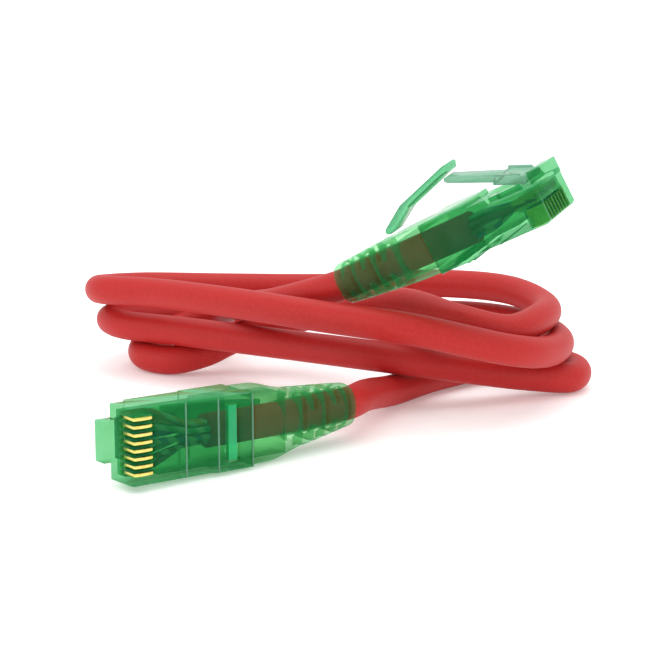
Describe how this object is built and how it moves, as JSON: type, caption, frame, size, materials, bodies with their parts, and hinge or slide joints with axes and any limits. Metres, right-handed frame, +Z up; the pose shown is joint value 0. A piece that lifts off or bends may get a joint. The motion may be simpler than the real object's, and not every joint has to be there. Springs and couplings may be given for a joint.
{
  "type": "ethernet patch cable",
  "caption": "Network patch cable: a round flexible cord, loosely coiled, with a clear modular plug, locking latch and snagless boot at each end.",
  "frame": {"origin": "on the floor, under the middle of the box round both plugs", "axes": "+X to the right along the longer side of the box round both plugs, +Y to the back where the coil lies, +Z up"},
  "size_m": [0.0929, 0.0988, 0.0463],
  "materials": {
    "clear_green": "clear tinted, polished",
    "pale_green": "clear tinted, polished",
    "load_bar": "clear, tinted by what is round it",
    "gold_contact": "gold plated",
    "red_jacket": "satin soft PVC",
    "wire_orange_white": "satin",
    "wire_orange": "satin",
    "wire_green_white": "satin",
    "wire_blue": "satin",
    "wire_blue_white": "satin",
    "wire_green": "satin",
    "wire_brown_white": "satin",
    "wire_brown": "satin"
  },
  "bodies": {
    "cable_with_plugs": {"cable_jacket": "red_jacket", "housing_a": "clear_green", "load_bar_a": "load_bar", "strain_bar_a": "clear_green", "contact_a1": "gold_contact", "wire_a1": "wire_orange_white", "contact_a2": "gold_contact", "wire_a2": "wire_orange", "contact_a3": "gold_contact", "wire_a3": "wire_green_white", "contact_a4": "gold_contact", "wire_a4": "wire_blue", "contact_a5": "gold_contact", "wire_a5": "wire_blue_white", "contact_a6": "gold_contact", "wire_a6": "wire_green", "contact_a7": "gold_contact", "wire_a7": "wire_brown_white", "contact_a8": "gold_contact", "wire_a8": "wire_brown", "boot_a": "clear_green", "housing_b": "clear_green", "load_bar_b": "load_bar", "strain_bar_b": "clear_green", "contact_b1": "gold_contact", "wire_b1": "wire_orange_white", "contact_b2": "gold_contact", "wire_b2": "wire_orange", "contact_b3": "gold_contact", "wire_b3": "wire_green_white", "contact_b4": "gold_contact", "wire_b4": "wire_blue", "contact_b5": "gold_contact", "wire_b5": "wire_blue_white", "contact_b6": "gold_contact", "wire_b6": "wire_green", "contact_b7": "gold_contact", "wire_b7": "wire_brown_white", "contact_b8": "gold_contact", "wire_b8": "wire_brown", "boot_b": "clear_green"},
    "latch_a": {"latch_a": "pale_green"},
    "boot_arm_a": {"boot_arm_a": "clear_green"},
    "latch_b": {"latch_b": "pale_green"},
    "boot_arm_b": {"boot_arm_b": "clear_green"}
  },
  "joints": [
    {"name": "boot_arm_a_press", "type": "hinge", "parent": "cable_with_plugs", "child": "boot_arm_a", "pos_m": [-0.01377, -0.00015, 0.00555], "axis": [-0.0042, 0.0627, 0.998], "range_deg": [0, 12], "stiffness_Nm_per_rad": 0.01},
    {"name": "latch_a_press", "type": "hinge", "parent": "cable_with_plugs", "child": "latch_a", "pos_m": [-0.03385, -0.01732, 0.00655], "axis": [0.0042, -0.0627, -0.998], "range_deg": [0, 13], "stiffness_Nm_per_rad": 0.01},
    {"name": "boot_arm_b_press", "type": "hinge", "parent": "cable_with_plugs", "child": "boot_arm_b", "pos_m": [0.0086, 0.01601, 0.03286], "axis": [0.4489, 0.8826, 0.14], "range_deg": [0, 12], "stiffness_Nm_per_rad": 0.01},
    {"name": "latch_b_press", "type": "hinge", "parent": "cable_with_plugs", "child": "latch_b", "pos_m": [0.0295, 0.00371, 0.0434], "axis": [-0.4489, -0.8826, -0.14], "range_deg": [0, 13], "stiffness_Nm_per_rad": 0.01}
  ],
  "couplings": [
    {"joint": "latch_a_press", "follows": "boot_arm_a_press", "ratio": 1.05},
    {"joint": "latch_b_press", "follows": "boot_arm_b_press", "ratio": 1.05}
  ]
}
